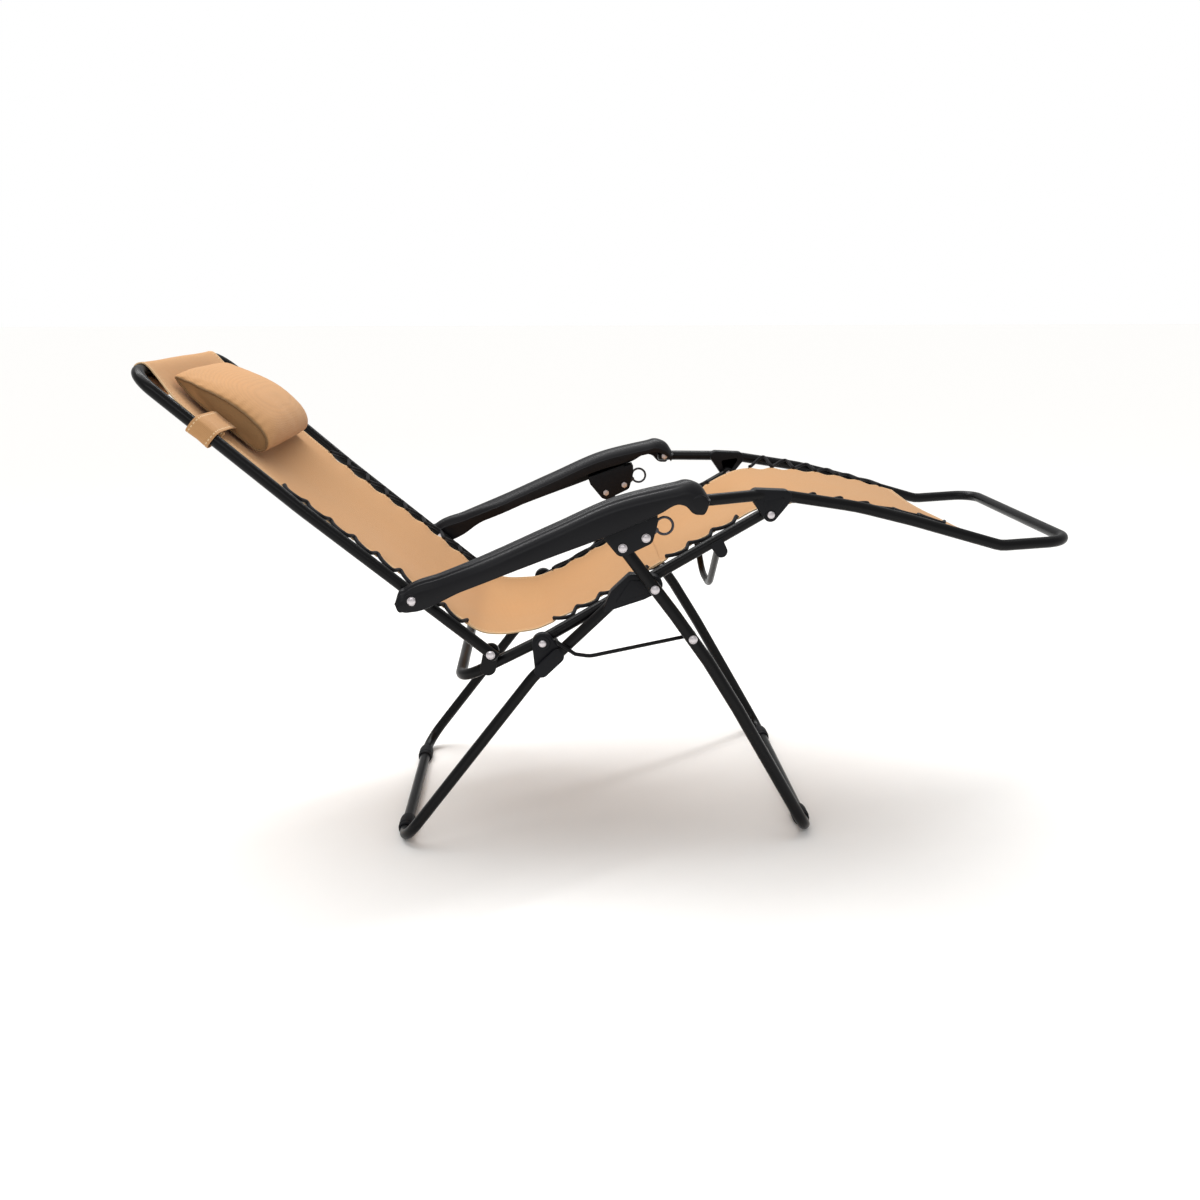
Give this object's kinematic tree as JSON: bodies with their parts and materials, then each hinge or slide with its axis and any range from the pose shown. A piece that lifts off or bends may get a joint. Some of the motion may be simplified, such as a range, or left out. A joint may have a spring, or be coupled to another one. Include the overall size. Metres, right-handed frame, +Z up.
{
  "type": "zero gravity recliner",
  "caption": "Folding lounge chair that leans back on linked frames, with a laced cloth sling, armrests with ring-pull locks and a sliding head pillow.",
  "frame": {"origin": "on the floor, under the middle of the chair's bounding box", "axes": "+Z up, +X from the head towards the feet, +Y the sitter's left"},
  "size_m": [1.7458, 0.6562, 0.9408],
  "materials": {
    "powder_coat": "satin black powder coat on steel tube",
    "black_plastic": "fine-grained moulded plastic",
    "zinc_bolt": "zinc-plated bolt",
    "cloth": "tan woven mesh",
    "bungee": "braided elastic cord",
    "steel_wire": "dark plated steel"
  },
  "bodies": {
    "rear_legs": {"rear_leg_frame": "powder_coat", "rear_leg_head_left": "black_plastic", "rear_leg_head_right": "black_plastic", "seat_bracket_left": "black_plastic", "seat_bracket_right": "black_plastic", "rear_foot_left": "black_plastic", "rear_foot_right": "black_plastic", "seat_pivot_bolt_left": "zinc_bolt", "seat_pivot_bolt_right": "zinc_bolt"},
    "front_legs": {"front_leg_frame": "powder_coat", "front_foot_left": "black_plastic", "front_foot_right": "black_plastic", "leg_pivot_bolt_left": "zinc_bolt", "leg_pivot_bolt_right": "zinc_bolt", "spreader_bolt_left": "zinc_bolt", "spreader_bolt_right": "zinc_bolt"},
    "locks": {"lock_housing_left": "black_plastic", "lock_housing_right": "black_plastic", "lock_leg_bolt_left": "zinc_bolt", "lock_leg_bolt_right": "zinc_bolt", "lever_bolt_left": "zinc_bolt", "lever_bolt_right": "zinc_bolt", "lock_pawl_left": "steel_wire", "lock_pawl_right": "steel_wire"},
    "lever_left": {"lock_lever_left": "steel_wire"},
    "lever_right": {"lock_lever_right": "steel_wire"},
    "spreaders": {"spreader_rod_left": "powder_coat", "spreader_rod_right": "powder_coat"},
    "seat": {"seat_frame": "powder_coat", "seat_brace": "powder_coat", "brace_clamp_left": "black_plastic", "brace_clamp_right": "black_plastic", "back_pivot_bolt_left": "zinc_bolt", "back_pivot_bolt_right": "zinc_bolt", "knee_bolt_left": "zinc_bolt", "knee_bolt_right": "zinc_bolt", "seat_sling": "cloth", "seat_lacing_left": "bungee", "seat_lacing_right": "bungee"},
    "back": {"back_frame": "powder_coat", "back_sling": "cloth", "back_lacing_left": "bungee", "back_lacing_right": "bungee", "arm_rear_bolt_left": "zinc_bolt", "arm_rear_bolt_right": "zinc_bolt"},
    "footrest": {"footrest_frame": "powder_coat", "knee_joint_left": "black_plastic", "knee_joint_right": "black_plastic", "footrest_arm_bolt_left": "zinc_bolt", "footrest_arm_bolt_right": "zinc_bolt", "footrest_sling": "cloth", "footrest_lacing_left": "bungee", "footrest_lacing_right": "bungee"},
    "arms": {"armrest_left": "black_plastic", "armrest_right": "black_plastic", "lock_rail_left": "steel_wire", "lock_rail_right": "steel_wire"},
    "pillow": {"head_pillow": "cloth", "pillow_strap_left": "cloth", "pillow_strap_right": "cloth"}
  },
  "joints": [
    {"name": "leg_fold", "type": "hinge", "parent": "rear_legs", "child": "front_legs", "pos_m": [0.042, 0, 0.53], "axis": [0, 1, 0], "range_deg": [0, 70]},
    {"name": "lock_pivot", "type": "hinge", "parent": "front_legs", "child": "locks", "pos_m": [-0.018, 0, 0.612], "axis": [0, -1, 0], "range_deg": [0, 55]},
    {"name": "spreader_pivot", "type": "hinge", "parent": "front_legs", "child": "spreaders", "pos_m": [0.114, 0, 0.431], "axis": [0, -1, 0], "range_deg": [0, 85]},
    {"name": "seat_tilt", "type": "hinge", "parent": "rear_legs", "child": "seat", "pos_m": [-0.169, 0, 0.418], "axis": [0, 1, 0], "range_deg": [0, 10.1]},
    {"name": "recline", "type": "hinge", "parent": "seat", "child": "back", "pos_m": [-0.267, 0, 0.402], "axis": [0, 1, 0], "range_deg": [0, 17.8]},
    {"name": "footrest_tilt", "type": "hinge", "parent": "seat", "child": "footrest", "pos_m": [0.263, 0, 0.661], "axis": [0, 1, 0], "range_deg": [0, 28.4]},
    {"name": "arm_pivot", "type": "hinge", "parent": "back", "child": "arms", "pos_m": [-0.402, 0, 0.522], "axis": [0, -1, 0], "range_deg": [0, 21.1]},
    {"name": "lever_left", "type": "hinge", "parent": "locks", "child": "lever_left", "pos_m": [0.025, 0.2901, 0.63], "axis": [0, -1, 0], "range_deg": [0, 20], "stiffness_Nm_per_rad": 0.2, "springref_deg": -20.05},
    {"name": "lever_right", "type": "hinge", "parent": "locks", "child": "lever_right", "pos_m": [0.025, -0.2901, 0.63], "axis": [0, -1, 0], "range_deg": [0, 20], "stiffness_Nm_per_rad": 0.2, "springref_deg": -20.05},
    {"name": "pillow_slide", "type": "slide", "parent": "back", "child": "pillow", "axis": [-0.7382, 0, 0.6746], "range_m": [-0.11, 0.01]}
  ],
  "couplings": [
    {"joint": "lock_pivot", "follows": "leg_fold", "ratio": 0.78},
    {"joint": "spreader_pivot", "follows": "leg_fold", "ratio": 1.2},
    {"joint": "seat_tilt", "follows": "recline", "ratio": 0.5618},
    {"joint": "footrest_tilt", "follows": "recline", "ratio": 1.5843},
    {"joint": "arm_pivot", "follows": "recline", "ratio": 1.1742}
  ]
}
